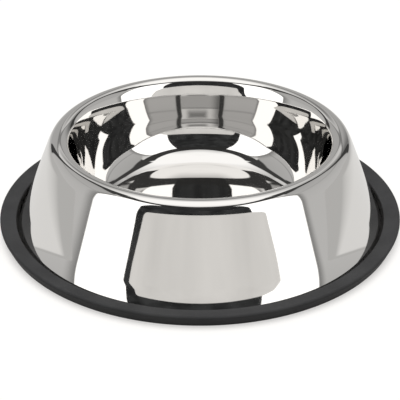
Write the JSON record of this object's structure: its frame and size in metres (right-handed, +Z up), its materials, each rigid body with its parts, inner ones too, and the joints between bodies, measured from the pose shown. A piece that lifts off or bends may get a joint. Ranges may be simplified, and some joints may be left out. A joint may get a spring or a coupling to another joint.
{
  "type": "dog bowl",
  "caption": "Non-tip dog bowl: a polished steel food well, rolled rim and flared skirt in one sheet, standing on a push-on rubber ring.",
  "frame": {"origin": "centre of the rubber ring's foot, on the surface that the bowl stands on", "axes": "+Z up along the bowl's axis of symmetry; X and Y in the plane of the floor"},
  "size_m": [0.25, 0.25, 0.0582],
  "materials": {
    "polished_steel": "mirror polished stainless sheet",
    "black_rubber": "matt moulded rubber"
  },
  "bodies": {
    "ring": {"rubber_ring": "black_rubber"},
    "bowl": {"steel_bowl": "polished_steel"}
  },
  "joints": [
    {"name": "bowl_lift_off", "type": "slide", "parent": "ring", "child": "bowl", "axis": [0, 0, 1], "range_m": [0, 0.03], "deforming": ["rubber_ring"]}
  ]
}
